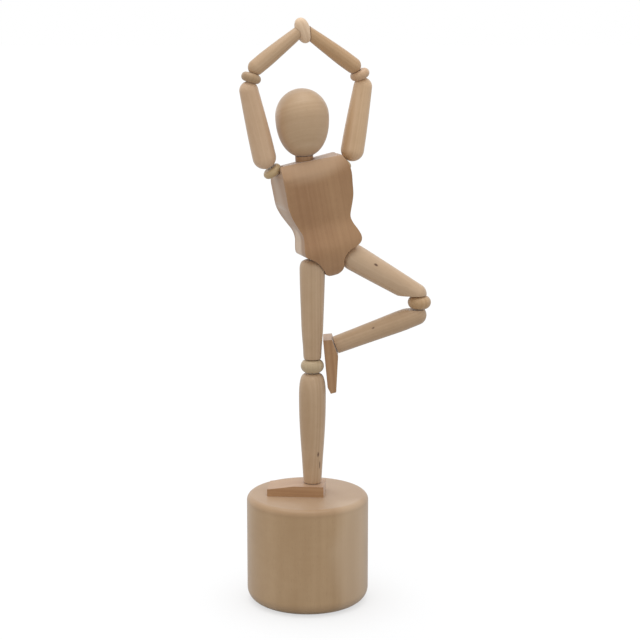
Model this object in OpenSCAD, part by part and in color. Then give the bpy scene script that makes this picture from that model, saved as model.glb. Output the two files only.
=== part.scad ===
// Thumb push puppet: a jointed wooden figure in the tree pose on a turned base.
// Cords run from the push button under the base through every bead to the head, hands and raised foot.
// Millimetres. +Z is up, the origin is the centre of the base's underside, the viewer is at -Y.
// Right and left are the figure's own: its right arm and its standing leg are on the -X side.

/* [Base] */
// Diameter of the turned base
base_d = 46; // [40:1:60]
// Height of the base
base_h = 41.5; // [36:0.5:60]
// Rounding of the base's upper edge
base_upper_round = 2.3; // [1:0.1:4]
// Rounding of the base's lower edge
base_lower_round = 5.1; // [2:0.1:5.5]
// Diameter of the chamber bored up into the base
chamber_d = 28; // [24:0.5:30]
// Thickness of the wood left above the chamber
ceiling_t = 11; // [7:0.5:14]
// Bevel at the mouth of the chamber
mouth_bevel = 0.8; // [0.2:0.1:1.5]

/* [Push button] */
// Thickness of the button
button_t = 6; // [4.5:0.25:7.5]
// How far the button's face lies inside the base
button_recess = 6; // [5:0.25:8]
// How far the button can be pressed
button_travel = 8; // [5:0.5:9]
// Gap between the button and the chamber wall, on the radius
button_gap = 0.3; // [0.15:0.05:0.6]
// Rounding of the button's pressed edge
button_round = 1.6; // [0.5:0.1:2]
// Diameter of the hollow that hides the knot
knot_hollow_d = 8; // [7:0.25:11]
// Depth of the hollow that hides the knot
knot_hollow_depth = 2.6; // [2.4:0.1:3.2]
// Diameter of the cord knot
knot_d = 5.6; // [4.5:0.1:6]
// Thickness of the cord knot
knot_t = 2.2; // [1.6:0.1:2.3]

/* [Spring] */
// Mean diameter of the spring
spring_d = 14; // [11:0.5:18]
// Diameter of the spring wire
wire_d = 1.2; // [0.8:0.1:1.4]
// Number of turns, the two closed end turns included
spring_turns = 6.5; // [5:0.5:7]
// Height of the stub that centres the spring on the button
spring_stub_h = 2.4; // [1:0.1:3]
// Gap between the spring and what it touches or surrounds
spring_gap = 0.2; // [0.1:0.05:0.4]

/* [Cords and gaps] */
// Diameter of one cord
cord_d = 0.8; // [0.5:0.05:1]
// Gap around a cord in its bore, on the radius
cord_gap = 0.3; // [0.15:0.05:0.5]
// Space between neighbouring cords in the bundle
cord_space = 0.1; // [0.05:0.05:0.3]
// Gap between two pieces that touch in the figure
touch = 0.25; // [0.15:0.05:0.4]
// How far a cord's run ends inside its bore
cord_end = 0.3; // [0.1:0.05:0.6]

/* [Standing leg] */
// Standing leg's distance to the right of the base's axis
leg_x = 1.85; // [-3:0.05:4]
// Standing leg's distance behind the base's axis
leg_y = 0.8; // [-2:0.1:3]
// Length of a foot
foot_len = 21.3; // [19:0.1:26]
// Width of a foot
foot_w = 11.4; // [9:0.1:13]
// Height of the standing foot at its heel
heel_h = 4.0; // [3:0.1:6]
// Height of the standing foot at its toe
toe_h = 2.65; // [2:0.05:2.9]
// Distance from the leg's axis to the heel
heel_back = 4.65; // [4:0.05:7]
// Distance from the leg's axis to the start of the toe slope
instep = 6.7; // [4.5:0.1:9]
// Turn of the standing foot, heel towards the viewer
foot_turn = 4.7; // [0:0.1:15]
// Sideways shift of the foot under the leg
foot_shift = -0.5; // [-1.5:0.1:1.5]
// Length of the standing shin
shin_len = 42.3; // [36:0.1:50]
// Largest radius of the standing shin
shin_r = 5.05; // [4:0.05:5.5]
// Radius of the standing shin at the ankle
ankle_r = 3.35; // [2.8:0.05:3.9]
// Radius of a knee bead
knee_r = 4.35; // [4:0.05:5]
// Thickness of the standing knee bead
knee_t = 5.2; // [4:0.1:6]
// Length of the standing thigh
thigh_len = 37.4; // [33:0.1:44]
// Largest radius of the standing thigh
thigh_r = 4.7; // [4:0.05:4.9]
// Radius of the standing thigh just above the knee
knee_end_r = 3.3; // [2.8:0.05:3.8]

/* [Torso] */
// Turn of the figure's front to its left
yaw = 20; // [0:0.5:28]
// Lean of the torso to the figure's right
roll = 11.5; // [8:0.25:14]
// Height of the torso block
torso_h = 45; // [42:0.1:49]
// Half the width of the chest
chest_half = 12.7; // [12:0.1:14]
// Half the width of the waist
waist_half = 9.9; // [8:0.1:10.5]
// Half the width of the hips
hips_half = 11.6; // [11:0.1:13]
// Depth of the chest in front of the cord channel
chest_front = 7.4; // [6.5:0.1:9]
// Depth of the back behind the cord channel
back_depth = 10; // [8:0.1:11]
// Depth of the belly in front of the cord channel
belly_front = 6.7; // [6:0.1:8]
// Depth of the seat behind the cord channel
seat_depth = 4.6; // [4:0.1:6.5]
// Rounding of the torso's upright edges
torso_edge = 1.3; // [0.5:0.1:2.5]
// Side distance of the standing hip from the torso's axis
hip_u = 6.2; // [5.5:0.1:7]
// Height of the standing hip above the torso's lowest point
hip_w = 8; // [7:0.1:9]

/* [Neck and head] */
// Radius of the neck
neck_r = 3.3; // [2.6:0.05:4]
// Visible length of the neck
neck_len = 1.2; // [0.8:0.1:5]
// Depth of the neck's seat in the torso
neck_seat = 1; // [0.8:0.1:1.6]
// Side distance of the neck from the torso's axis, towards the figure's right
neck_u = 1.9; // [0:0.1:3]
// Lean of the neck and head
head_lean = 3; // [0:0.5:7]
// Height of the head
head_h = 24.3; // [20:0.1:26.5]
// Radius of the head
head_r = 9.8; // [8:0.1:10.5]
// Share of the head's height that lies below its widest place
jaw_share = 0.58; // [0.5:0.01:0.66]

/* [Arms] */
// Radius of a shoulder bead
shoulder_r = 3.6; // [3:0.05:4]
// Thickness of a shoulder bead
shoulder_t = 2.9; // [2.2:0.1:3.4]
// Radius of an elbow bead
elbow_r = 3.65; // [3.2:0.05:4.2]
// Thickness of an elbow bead
elbow_t = 3.4; // [2.6:0.1:4]
// Depth of the hollows in an elbow bead that the arm pieces sit in
elbow_cup = 0.8; // [0.4:0.1:1]
// Radius of an upper arm at the shoulder
arm_low_r = 4.3; // [3.5:0.05:4.6]
// Radius of an upper arm at the elbow
arm_top_r = 3.45; // [2.6:0.05:3.7]
// Length of the right upper arm between the centres of its round ends
right_arm_len = 24.9; // [21:0.1:28]
// Length of the left upper arm between the centres of its round ends
left_arm_len = 23.3; // [20:0.1:27]
// Direction of the right upper arm, counted up from the figure's left
right_arm_angle = 103.2; // [96:0.1:108]
// Direction of the left upper arm
left_arm_angle = 80.2; // [74:0.1:86]
// Direction in which the right shoulder bead faces
right_shoulder_angle = 128; // [122:0.5:134]
// Direction in which the left shoulder bead faces
left_shoulder_angle = 50; // [44:0.5:56]
// Direction in which the right elbow bead faces
right_elbow_angle = 71.5; // [66:0.5:78]
// Direction in which the left elbow bead faces
left_elbow_angle = 112; // [106:0.5:118]
// Sideways slip of an elbow bead on its upper arm
elbow_slip = 0.6; // [0:0.1:0.9]
// Sideways slip of the right upper arm on its shoulder bead
right_arm_slip = 0.8; // [0:0.1:1.2]
// Side distance of the right shoulder bead from the torso's axis
right_shoulder_u = 14.6; // [14:0.1:16]
// Height of the right shoulder bead below the torso's top
right_shoulder_drop = 1.2; // [0:0.1:2.5]
// Side distance of the left shoulder bead from the torso's axis
left_shoulder_u = 12.5; // [12:0.1:14]
// Height of the left shoulder bead below the torso's top
left_shoulder_drop = 4.7; // [3:0.1:6]
// Radius of a forearm at the elbow
forearm_r = 2.95; // [2.5:0.05:3.3]
// Radius of a forearm at the hands
wrist_r = 2.2; // [1.5:0.05:2.4]
// Length of the bead that stands for the clasped hands
hand_len = 9.5; // [8:0.1:12]
// Radius of the hand bead
hand_r = 2.75; // [2.6:0.05:3.4]
// Lean of the hand bead to the figure's right
hand_lean = 20; // [0:1:25]
// Distance of the hand bead to the right of the middle between the elbows
hand_shift = 0.75; // [0:0.05:2]
// Height of the hand bead's centre above the forearms' round ends
hand_rise = 12.9; // [10:0.1:15]
// How far above the hand bead's centre the forearms' axes meet
grip_rise = 0.7; // [-0.5:0.1:1.2]

/* [Raised leg] */
// Distance of the raised leg behind the base's axis
raised_y = 5.2; // [4:0.1:6]
// Radius of the raised thigh's round hip end
raised_hip_r = 5; // [4.4:0.05:5.3]
// Radius of the raised thigh near the knee
raised_knee_r = 3.9; // [3.3:0.05:4.3]
// Side distance of the raised hip from the torso's axis
raised_hip_u = 9.6; // [9:0.1:10.5]
// Height of the raised hip above the torso's lowest point
raised_hip_w = 4.6; // [4:0.1:5.5]
// Rise of the raised shin from the ankle to the knee
raised_shin_angle = 20.8; // [18:0.2:25]
// Length of the raised shin, from its ankle to the centre of its round end
raised_shin_len = 32.3; // [28:0.1:36]
// Thickness of the raised knee bead
raised_knee_t = 5; // [4:0.1:5.6]
// Sideways slip of the raised knee bead on its thigh
knee_slip = 0.5; // [0:0.1:0.8]
// Largest radius of the raised shin
raised_shin_r = 3.95; // [3.5:0.05:4.6]
// Radius of the raised shin at the ankle
raised_ankle_r = 3.35; // [2.8:0.05:3.6]
// Height of the raised heel above the standing knee bead
heel_rise = 7.3; // [6:0.1:10]
// Lean of the raised sole from the upright
sole_lean = 5.4; // [2:0.1:9]
// Thickness of the raised foot at its heel
raised_heel_t = 3.3; // [2.8:0.1:4]
// Distance from the raised heel to the middle of its ankle
heel_to_ankle = 3.4; // [3:0.1:4.5]

/* [Hidden] */
$fn = 64;
eps = 0.01;
reach = base_d + chamber_d / 2;
wood = [0.80, 0.66, 0.50];
wood_dark = [0.68, 0.52, 0.38];
wood_pale = [0.84, 0.74, 0.58];
cord_white = [0.90, 0.88, 0.82];
steel = [0.72, 0.72, 0.74];

RIGHT = 0;
LEFT = 1;

// Heights up the standing leg
ceiling_z = base_h - ceiling_t;
button_top = button_recess + button_t;
foot_top = base_h + heel_h;
shin_z = foot_top + touch;
knee_z = shin_z + shin_len + touch;
thigh_z = knee_z + knee_t + touch;
hip_z = thigh_z + thigh_len + touch;

// Bores: one cord, or the bundle of four in the standing leg
bore_d = cord_d + 2 * cord_gap;
strand_r = (cord_d + cord_space) / sqrt(2);
bundle_d = 2 * strand_r + cord_d + 2 * cord_gap;
branch_d = bundle_d - cord_gap;

// The figure's plane holds both arms and the middle of the torso: [side, height] becomes [x, y, z]
plane_side = -hip_u * cos(roll) - hip_w * sin(roll);
plane_x = leg_x - plane_side * cos(yaw);
plane_y = leg_y - plane_side * sin(yaw);
torso_z = hip_z + hip_u * sin(roll) - hip_w * cos(roll);
function in_plane(p, f = 0) = [
  plane_x + p.x * cos(yaw) - f * sin(yaw), plane_y + p.x * sin(yaw) + f * cos(yaw), p.y];
function torso_plane(u, w) = [
  u * cos(roll) - w * sin(roll), torso_z + u * sin(roll) + w * cos(roll)];
function torso_point(u, w, f = 0) = in_plane(torso_plane(u, w), f);
function polar(angle, d) = d * [cos(angle), sin(angle)];
function unit(v) = v / norm(v);

// Smooth line through points, n steps between neighbours
function between_points(a, b, c, d, t) =
  0.5 * (2 * b + (c - a) * t + (2 * a - 5 * b + 4 * c - d) * t * t + (3 * b - a - 3 * c + d) * t * t * t);
function smooth(p, n = 4) = concat(
  [for (i = [0 : len(p) - 2], k = [0 : n - 1])
    between_points(p[max(i - 1, 0)], p[i], p[i + 1], p[min(i + 2, len(p) - 1)], k / n)],
  [p[len(p) - 1]]);

// Neck and head
neck_base = torso_point(-neck_u, torso_h - neck_seat + touch);
head_dir = [-sin(head_lean) * cos(yaw), -sin(head_lean) * sin(yaw), cos(head_lean)];
neck_h = neck_seat + neck_len;
head_base = neck_base + (neck_h + touch) * head_dir;
chin_depth = 0.952;

// Arms, each value for the figure's right and left
arm_len = [right_arm_len, left_arm_len];
arm_angle = [right_arm_angle, left_arm_angle];
shoulder_angle = [right_shoulder_angle, left_shoulder_angle];
elbow_angle = [right_elbow_angle, left_elbow_angle];
arm_slip = [right_arm_slip, 0];
slip = [-elbow_slip, elbow_slip];
forearm_slip = [elbow_slip, -2 * elbow_slip];
shoulder_mid = [
  torso_plane(-right_shoulder_u, torso_h - right_shoulder_drop),
  torso_plane(left_shoulder_u, torso_h - left_shoulder_drop)];
function low_ball(s) = shoulder_mid[s] + polar(shoulder_angle[s], shoulder_t / 2 + touch + arm_low_r)
  + polar(shoulder_angle[s] - 90, arm_slip[s]);
function top_ball(s) = low_ball(s) + polar(arm_angle[s], arm_len[s]);
elbow_seat = elbow_t / 2 + touch - elbow_cup;
function elbow_mid(s) = top_ball(s)
  + polar(elbow_angle[s], arm_top_r + elbow_seat) + polar(elbow_angle[s] - 90, slip[s]);
function forearm_ball(s) = elbow_mid(s)
  + polar(elbow_angle[s], elbow_seat + forearm_r) + polar(elbow_angle[s] - 90, forearm_slip[s]);
hand_mid = (forearm_ball(RIGHT) + forearm_ball(LEFT)) / 2 + [-hand_shift, hand_rise];
grip = hand_mid + [0, grip_rise];
function grip_gap(s) = norm(grip - forearm_ball(s));
grip_depth = [1.15 * hand_r, 1.45 * hand_r];

// Arm cords run straight from bead to bead: from each bead's outer opening to the next one's inner opening
function shoulder_out(s) = in_plane(shoulder_mid[s] + polar(shoulder_angle[s], shoulder_t / 2));
function elbow_in(s) = in_plane(elbow_mid(s) - polar(elbow_angle[s], elbow_t / 2 - elbow_cup));
function elbow_out(s) = in_plane(elbow_mid(s) + polar(elbow_angle[s], elbow_t / 2 - elbow_cup));
function to_grip(s) = unit(in_plane(grip) - elbow_out(s));

// Raised leg, in the upright plane at raised_y: [x, z] becomes [x, y, z]
function in_leg_plane(p) = [p.x, raised_y, p.y];
hip_side = torso_plane(raised_hip_u, raised_hip_w);
hip_f = (raised_y - plane_y - hip_side.x * sin(yaw)) / cos(yaw);
raised_hip = [in_plane(hip_side, hip_f).x, hip_side.y];
heel = [leg_x + thigh_r * 0.8 + touch, knee_z + knee_t + heel_rise];
sole_dir = [sin(sole_lean), -cos(sole_lean)];
sole_out = [cos(sole_lean), sin(sole_lean)];
seat_tilt = raised_shin_angle - sole_lean;
ankle_seat = heel + heel_to_ankle * sole_dir + (raised_heel_t + heel_to_ankle * tan(seat_tilt)) * sole_out;
shin_dir = polar(raised_shin_angle, 1);
ankle = ankle_seat + touch * shin_dir;
shin_top = ankle + raised_shin_len * shin_dir;
knee_under = shin_top.y + raised_shin_r * 0.55;
raised_knee = [shin_top.x + 2 * knee_slip, knee_under + touch + raised_knee_t / 2];
shin_run = [raised_knee.x, knee_under] - ankle;
thigh_end = raised_knee + [-knee_slip, raised_knee_t / 2 + touch];
raised_thigh_len = norm(thigh_end - raised_hip);
thigh_dir = unit(thigh_end - raised_hip);
raised_thigh_angle = -atan2(thigh_dir.y, thigh_dir.x);

// Cord channels in the torso
channel_low = [leg_x, leg_y, hip_z];
channel_high = neck_base;
function channel(share) = channel_low + share * (channel_high - channel_low);
arm_branch = channel(0.84);
leg_branch = channel(0.38);

// Strand i of the bundle: 0 to the raised leg, 1 to the right arm, 2 to the head, 3 to the left arm
function strand(i) = strand_r * [cos(45 + 90 * i), sin(45 + 90 * i), 0];

// Hinge lines, each a point and a direction
function rim_point(s) = in_plane(
  shoulder_mid[s] - polar(shoulder_angle[s], shoulder_t / 2), -(shoulder_r - shoulder_t / 2));
front = [sin(yaw), -cos(yaw), 0];
side = [cos(yaw), sin(yaw), 0];
knee_flat = knee_r - knee_t / 2;
HINGES = [
  ["ankle", [leg_x - ankle_r, leg_y, shin_z], [0, 1, 0]],
  ["knee_lower", [leg_x + knee_flat, leg_y, knee_z], [0, 1, 0]],
  ["knee_upper", [leg_x + knee_flat, leg_y, thigh_z], [0, 1, 0]],
  ["hip", [leg_x - thigh_r * 0.6, leg_y, thigh_z + thigh_len], [0, 1, 0]],
  ["neck", neck_base + neck_r * front, side],
  ["head", head_base + neck_r * front, side],
  ["right_shoulder", rim_point(RIGHT), unit(rim_point(LEFT) - rim_point(RIGHT))],
  ["left_shoulder", rim_point(LEFT), unit(rim_point(LEFT) - rim_point(RIGHT))],
  ["right_arm", in_plane(low_ball(RIGHT)), unit(in_plane(low_ball(LEFT)) - in_plane(low_ball(RIGHT)))],
  ["left_arm", in_plane(low_ball(LEFT)), unit(in_plane(low_ball(LEFT)) - in_plane(low_ball(RIGHT)))],
  ["right_elbow", in_plane(top_ball(RIGHT)), unit(in_plane(top_ball(LEFT)) - in_plane(top_ball(RIGHT)))],
  ["left_elbow", in_plane(top_ball(LEFT)), unit(in_plane(top_ball(LEFT)) - in_plane(top_ball(RIGHT)))],
  ["right_forearm", in_plane(forearm_ball(RIGHT)),
    unit(in_plane(forearm_ball(LEFT)) - in_plane(forearm_ball(RIGHT)))],
  ["left_forearm", in_plane(forearm_ball(LEFT)),
    unit(in_plane(forearm_ball(LEFT)) - in_plane(forearm_ball(RIGHT)))],
  ["hand", in_plane(grip), side],
  ["raised_hip", in_leg_plane(raised_hip), [0, 1, 0]],
  ["raised_knee_upper", in_leg_plane(raised_knee + [knee_flat, raised_knee_t / 2]), [0, 1, 0]],
  ["raised_knee_lower", in_leg_plane(raised_knee + [knee_flat, -raised_knee_t / 2]), [0, 1, 0]],
  ["raised_ankle", in_leg_plane(ankle + polar(raised_shin_angle + 90, raised_ankle_r)), [0, 1, 0]]
];
echo(hinges = HINGES);

// Places a child so that its +Z runs from a towards b
module aim(a, b) {
  v = b - a;
  translate(a) rotate([0, acos(v.z / norm(v)), atan2(v.y, v.x)]) children();
}

module rod(a, b, d) {
  aim(a, b) rotate(90) cylinder(d = d, h = norm(b - a));
}

// A cord's run between two points
module cord(a, b) {
  color(cord_white) rod(a, b, cord_d);
}

// A cord's run that ends a little inside each face of its piece
module cord_run(a, b) {
  v = unit(b - a);
  cord(a + cord_end * v, b - cord_end * v);
}

// Four cords side by side up an upright bore
module bundle(x, y, z0, z1) {
  for (i = [0 : 3])
    cord_run([x, y, z0] + strand(i), [x, y, z1] + strand(i));
}

// A piece turned on the lathe from an outline of [height, radius] points
module turned(outline) {
  line = smooth(outline);
  first = line[0];
  last = line[len(line) - 1];
  rotate_extrude() polygon(concat([[0, first.x]], [for (p = line) [p.y, p.x]], [[0, last.x]]));
}

// A flat bead with a fully rounded edge, its bore upright
module bead(r, t, hole) {
  rotate_extrude() difference() {
    union() {
      translate([0, -t / 2]) square([r - t / 2, t]);
      translate([r - t / 2, 0]) circle(d = t);
    }
    translate([-reach, -t]) square([reach + hole / 2, 2 * t]);
  }
}

// A limb between two round ends, with a straight or swelling side
module limb(len, r0, r1, swell) {
  rotate_extrude() intersection() {
    union() {
      circle(r = r0);
      translate([0, len]) circle(r = r1);
      polygon(concat([[0, 0]],
        [for (p = smooth([[r0, 0], [(r0 * 0.72 + r1 * 0.28) * swell, len * 0.28],
          [(r0 * 0.4 + r1 * 0.6) * swell, len * 0.6], [r1, len]])) p], [[0, len]]));
    }
    translate([0, -reach]) square([reach, 3 * reach]);
  }
}

module base() {
  color(wood) difference() {
    rotate_extrude() difference() {
      union() {
        square([base_d / 2 - base_lower_round, base_h]);
        translate([0, base_lower_round])
          square([base_d / 2, base_h - base_lower_round - base_upper_round]);
        square([base_d / 2 - base_upper_round, base_h - eps] - [base_lower_round, 0]);
        translate([0, base_h - base_upper_round - eps])
          square([base_d / 2 - base_upper_round, base_upper_round + eps]);
        translate([base_d / 2 - base_lower_round, base_lower_round]) circle(r = base_lower_round);
        translate([base_d / 2 - base_upper_round, base_h - base_upper_round]) circle(r = base_upper_round);
      }
      translate([0, -eps]) square([chamber_d / 2, ceiling_z + eps]);
      polygon([
        [0, -eps], [chamber_d / 2 + mouth_bevel + eps, -eps],
        [chamber_d / 2, mouth_bevel], [0, mouth_bevel]]);
      translate([-base_d, 0]) square([base_d, base_h]);
    }
    translate([leg_x, leg_y, ceiling_z - 1]) cylinder(d = bundle_d, h = ceiling_t + 2);
  }
}

module push_button() {
  r = chamber_d / 2 - button_gap;
  stub_r = spring_d / 2 * cos(180 / coil_steps) - wire_d / 2 - spring_gap;
  cord_lean = norm([leg_x, leg_y]) * (button_top + spring_stub_h - knot_top) / (ceiling_z - knot_top);
  hole_r = bundle_d / 2 + cord_lean;
  color(wood_pale) translate([0, 0, button_recess]) rotate_extrude() difference() {
    union() {
      translate([0, button_round]) square([r, button_t - button_round]);
      square([r - button_round, button_t]);
      translate([r - button_round, button_round]) circle(r = button_round);
      square([stub_r, button_t + spring_stub_h]);
    }
    translate([-reach, -1]) square([reach + hole_r, reach]);
    translate([0, -1]) square([knot_hollow_d / 2, knot_hollow_depth + 1]);
  }
}

// The spring's wire: closed end turns, even coils between
wire_low = button_top + wire_d / 2 + spring_gap / 2;
wire_high = ceiling_z - wire_d / 2 - spring_gap / 2;
closed_rise = wire_d + 0.6;
open_rise = (wire_high - wire_low - 2 * closed_rise) / (spring_turns - 2);
function wire_z(turn) = wire_low
  + closed_rise * (min(turn, 1) + max(turn - spring_turns + 1, 0))
  + open_rise * max(min(turn, spring_turns - 1) - 1, 0);
coil_steps = 8;
rings = coil_steps * spring_turns;
function wire_point(i) = let (turn = i / coil_steps)
  [spring_d / 2 * cos(360 * turn), spring_d / 2 * sin(360 * turn), wire_z(turn)];
wire_line = [for (i = [0 : rings]) wire_point(i)];
function ring_around(i) = let (
    p = wire_line[i],
    out = unit([p.x, p.y, 0]),
    ahead = unit(wire_line[min(i + 1, rings)] - wire_line[max(i - 1, 0)]),
    up = cross(ahead, out))
  [for (k = [0 : 5]) p + wire_d / 2 * (cos(60 * k) * out + sin(60 * k) * unit(up))];
spring_room = min([for (i = [0 : rings], j = [0 : rings]) if (j - i > 5)
  norm(wire_line[i] - wire_line[j]) - wire_d]);
echo(spring_least_gap = spring_room);

module button_spring() {
  points = [for (i = [0 : rings]) each ring_around(i)];
  sides = [for (i = [0 : rings - 1], k = [0 : 5]) each [
    [6 * i + k, 6 * i + 6 + k, 6 * i + (k + 1) % 6],
    [6 * i + 6 + k, 6 * i + 6 + (k + 1) % 6, 6 * i + (k + 1) % 6]]];
  ends = [for (k = [1 : 4]) each [[0, k, k + 1], [6 * rings, 6 * rings + k + 1, 6 * rings + k]]];
  color(steel) polyhedron(points = points, faces = concat(sides, ends));
}

knot_top = button_recess + knot_hollow_depth - spring_gap / 2;

module cord_knot() {
  color(cord_white) translate([0, 0, knot_top - knot_t / 2]) rotate_extrude() intersection() {
    union() {
      translate([knot_d / 2 - knot_t / 2, 0]) circle(d = knot_t);
      translate([0, -knot_t / 2]) square([knot_d / 2 - knot_t / 2, knot_t]);
    }
    translate([0, -reach]) square([reach, 2 * reach]);
  }
}

module chamber_cords() {
  for (i = [0 : 3])
    cord([0, 0, knot_top + cord_d / 10] + strand(i), [leg_x, leg_y, ceiling_z - eps] + strand(i));
}

module standing_foot() {
  color(wood_dark) difference() {
    translate([leg_x, leg_y + foot_shift, base_h]) rotate([90, 0, -foot_turn])
      linear_extrude(height = foot_w, center = true) polygon([
        [heel_back, 0], [heel_back, heel_h], [-instep, heel_h],
        [heel_back - foot_len, toe_h], [heel_back - foot_len, 0]]);
    translate([leg_x, leg_y, base_h - 1]) cylinder(d = bundle_d, h = heel_h + 2);
  }
}

module standing_foot_cords() {
  bundle(leg_x, leg_y, ceiling_z, foot_top);
}

module standing_shin() {
  l = shin_len;
  r = shin_r;
  color(wood) translate([leg_x, leg_y, shin_z]) difference() {
    turned([[0, ankle_r - 0.35], [0.35, ankle_r], [l * 0.09, ankle_r * 1.08], [l * 0.23, r * 0.79],
      [l * 0.42, r * 0.9], [l * 0.6, r * 0.975], [l * 0.77, r], [l * 0.87, r * 0.98],
      [l * 0.94, r * 0.9], [l * 0.98, r * 0.77], [l, r * 0.56]]);
    translate([0, 0, -1]) cylinder(d = bundle_d, h = shin_len + 2);
  }
}

module standing_shin_cords() {
  bundle(leg_x, leg_y, shin_z, shin_z + shin_len);
}

module standing_knee_bead() {
  color(wood_pale) translate([leg_x, leg_y, knee_z + knee_t / 2]) bead(knee_r, knee_t, bundle_d);
}

module standing_knee_cords() {
  bundle(leg_x, leg_y, knee_z, knee_z + knee_t);
}

module thigh_outline() {
  l = thigh_len;
  r = thigh_r;
  turned([[0, knee_end_r - 0.4], [0.4, knee_end_r], [l * 0.12, knee_end_r * 1.07], [l * 0.28, r * 0.85],
    [l * 0.48, r * 0.91], [l * 0.68, r * 0.965], [l * 0.85, r], [l * 0.935, r * 0.99],
    [l * 0.98, r * 0.86], [l, r * 0.6]]);
}

module standing_thigh() {
  color(wood) translate([leg_x, leg_y, thigh_z]) difference() {
    thigh_outline();
    translate([0, 0, -1]) cylinder(d = bundle_d, h = thigh_len + 2);
  }
}

module standing_thigh_cords() {
  bundle(leg_x, leg_y, thigh_z, thigh_z + thigh_len);
}

// The torso's front outline, up its left side and down its right, with an arch over each thigh
module torso_outline() {
  h = torso_h;
  c = chest_half;
  w = waist_half;
  p = hips_half;
  polygon(concat(
    smooth([
      [0, 0.1], [2.1, 0.2], [3.6, 1.3], [4.3, 3], [4.2, 5], [4.9, 7.1], [6.8, 9], [9.8, 10], [p, 11.2],
      [p + 0.7, 13.2], [p, 15.9], [w + 0.6, 18.5], [w + 0.1, 20.9], [w + 0.6, 23.2], [c - 1.2, 26.2],
      [c - 0.4, 29.4], [c - 0.1, 33.8], [c + 0.1, h * 0.83], [c - 0.4, h * 0.91], [c - 1.8, h * 0.985]], 3),
    smooth([
      [0.2 - c, h + 0.4], [-c - 0.4, h - 2], [-c - 0.8, h * 0.83], [-c - 0.8, 33.8], [-c - 0.4, 29.4],
      [0.5 - c, 25.6], [-w - 0.8, 21.8], [0.3 - w, 19], [0.3 - w, 16.5], [1.5 - p, 14.4],
      [1.1 - p, 12.4], [1.3 - p, 10.7], [-8.1, 9.1], [-6, 7.2], [-4.6, 5], [-4.1, 3.2],
      [-3, 1.5], [-1.5, 0.4]], 3)));
}

// The torso's side outline: [depth, height], front at the left
module torso_profile() {
  h = torso_h;
  polygon(concat(
    [[5.2, h - 1], [3 - chest_front, h + 0.3]],
    smooth([
      [1.4 - chest_front, h * 0.97], [-chest_front, h * 0.885], [0.9 - chest_front, 32],
      [-5.3, 24.5], [-4.8, 20.5], [-5.4, 17], [-belly_front, 12], [0.8 - belly_front, 7.5],
      [-4, 3.4], [-2, 0.8], [0, -0.3], [2.2, 1], [3.8, 3.6], [seat_depth - 0.6, 8], [seat_depth, 12],
      [seat_depth + 0.4, 16], [7, 20], [back_depth - 0.9, 25],
      [back_depth, 31], [back_depth - 0.8, h * 0.84],
      [6.4, h * 0.95]], 3)));
}

// Round-cornered bar that takes the sharpness off the torso's upright edges
module torso_blank() {
  half = chest_half + 0.6;
  low = -chest_front - 0.2;
  high = back_depth + 0.2;
  translate([0, 0, -1]) linear_extrude(height = torso_h + 3) union() {
    translate([torso_edge - half, low]) square([2 * (half - torso_edge), high - low]);
    translate([-half, low + torso_edge]) square([2 * half, high - low - 2 * torso_edge]);
    for (x = [torso_edge - half, half - torso_edge], y = [low + torso_edge, high - torso_edge])
      translate([x, y]) circle(r = torso_edge);
  }
}

// Room that is drilled in the torso for a shoulder bead
module shoulder_seat(s) {
  low = shoulder_mid[s] - polar(shoulder_angle[s], shoulder_t / 2 + touch);
  aim(in_plane(low), in_plane(low + polar(shoulder_angle[s], 1)))
    cylinder(r = shoulder_r + 3 * touch, h = reach / 3);
}

module torso() {
  color(wood_dark) difference() {
    translate([plane_x, plane_y, torso_z]) rotate([0, 0, yaw]) rotate([0, -roll, 0])
      intersection() {
        rotate([90, 0, 0]) linear_extrude(height = reach, center = true) torso_outline();
        rotate([90, 0, 90]) linear_extrude(height = reach, center = true) torso_profile();
        torso_blank();
      }
    translate([leg_x, leg_y, hip_z - thigh_len]) cylinder(r = thigh_r + 2 * touch, h = thigh_len);
    translate(in_leg_plane(raised_hip)) rotate([0, 90 + raised_thigh_angle, 0]) {
      sphere(r = raised_hip_r + touch);
      cylinder(r = raised_hip_r + touch, h = reach / 2);
    }
    aim(neck_base - touch * head_dir, neck_base + head_dir)
      cylinder(r = neck_r + 2 * touch, h = reach / 3);
    shoulder_seat(RIGHT);
    shoulder_seat(LEFT);
    rod(channel(-0.05), channel(1.05), bundle_d);
    rod(arm_branch, in_plane(shoulder_mid[RIGHT]), branch_d);
    rod(arm_branch, in_plane(shoulder_mid[LEFT]), branch_d);
    rod(leg_branch, in_leg_plane(raised_hip), branch_d);
  }
}

// Where the bore of an arm's cord opens in the seat of its shoulder bead
function seat_opening(s) = let (
    mid = in_plane(shoulder_mid[s]),
    facing = in_plane(shoulder_mid[s] + polar(shoulder_angle[s], 1)) - mid,
    along = unit(mid - arm_branch))
  mid - (shoulder_t / 2 + touch) / (along * facing) * along;

// A strand that turns off the bundle at b, a little tighter after the bend
module bent_cord(a, b, c) {
  up = unit(b - a);
  out = unit(c - b);
  color(cord_white) union() {
    rod(a + cord_end * up, b + cord_d * up, cord_d);
    rod(b, c - cord_end * out, cord_d - 0.06);
  }
}

module torso_cords() {
  hip_end = raised_hip_r + touch;
  toward = unit(leg_branch - in_leg_plane(raised_hip));
  bent_cord(channel_low + strand(0), leg_branch + strand(0), in_leg_plane(raised_hip) + hip_end * toward);
  bent_cord(channel_low + strand(1), arm_branch + strand(1), seat_opening(RIGHT));
  cord_run(channel_low + strand(2), channel_high + strand(2));
  bent_cord(channel_low + strand(3), arm_branch + strand(3), seat_opening(LEFT));
}

module neck() {
  color(wood) aim(neck_base, neck_base + head_dir) difference() {
    cylinder(r = neck_r, h = neck_h);
    translate([0, 0, -1]) cylinder(d = bundle_d, h = neck_h + 2);
  }
}

module neck_cord() {
  cord_run(neck_base + strand(2), neck_base + neck_h * head_dir + strand(2));
}

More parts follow.
